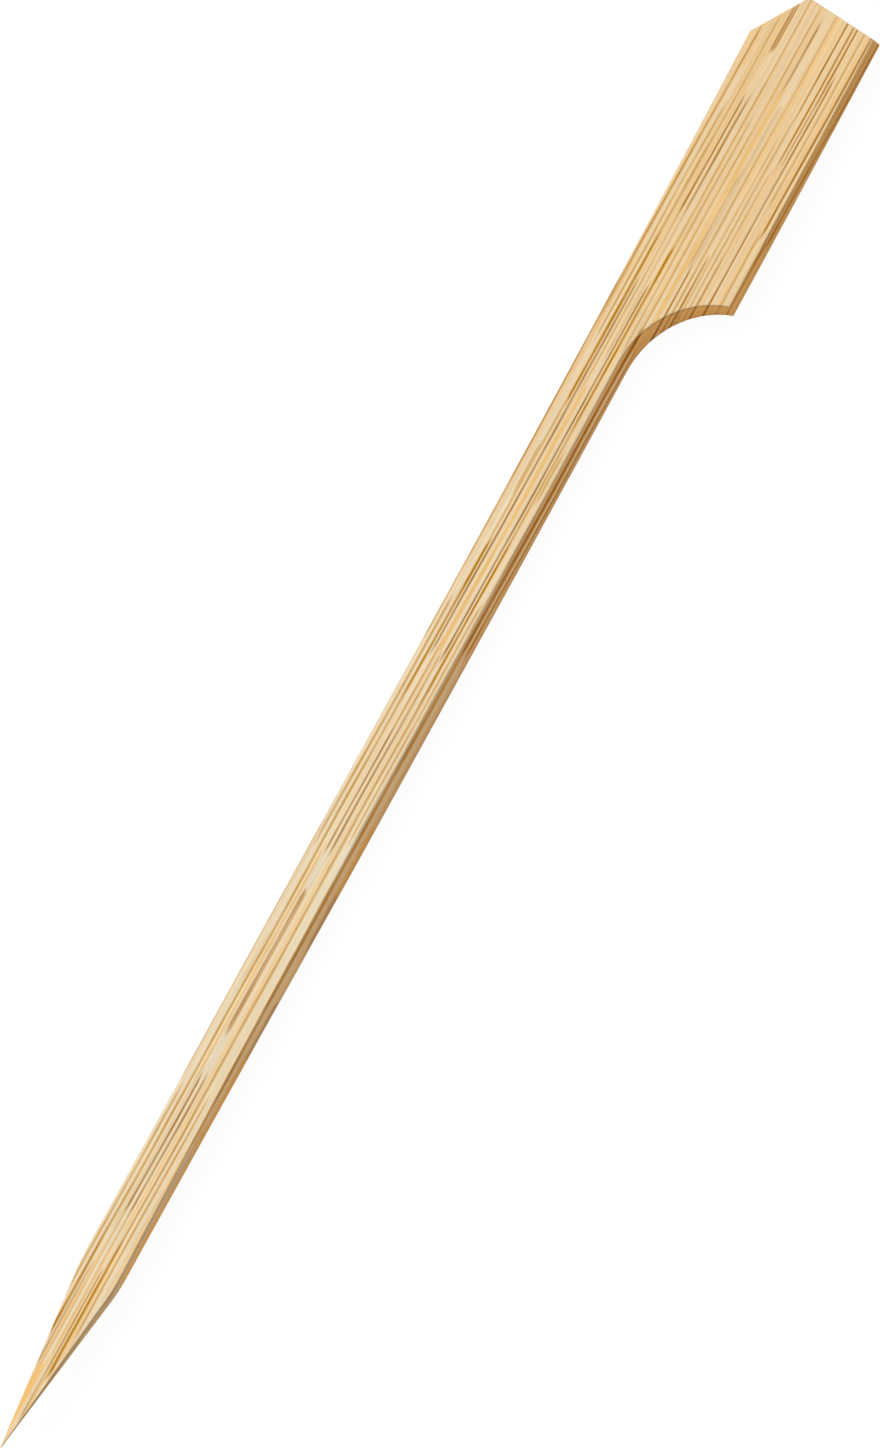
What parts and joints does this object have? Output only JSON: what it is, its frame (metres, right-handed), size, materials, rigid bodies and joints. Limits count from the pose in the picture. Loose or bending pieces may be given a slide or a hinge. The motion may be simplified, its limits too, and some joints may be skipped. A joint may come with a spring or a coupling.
{
  "type": "bamboo flag skewer",
  "caption": "One-piece flat bamboo skewer with a broad clipped flag at one end, a scooped shoulder, a slim stem and a pared point.",
  "frame": {"origin": "middle of the underside of the overall box, with the skewer lying on its back face", "axes": "+X along the grain from the point to the flag, +Y toward the straight edge, away from the side on which the flag stands out, +Z out of the front face"},
  "size_m": [0.15, 0.0112, 0.003],
  "materials": {
    "bamboo": "smooth split bamboo, bare, straight grain with darker fibre lines"
  },
  "bodies": {
    "root": {"flag_skewer": "bamboo"}
  },
  "joints": []
}
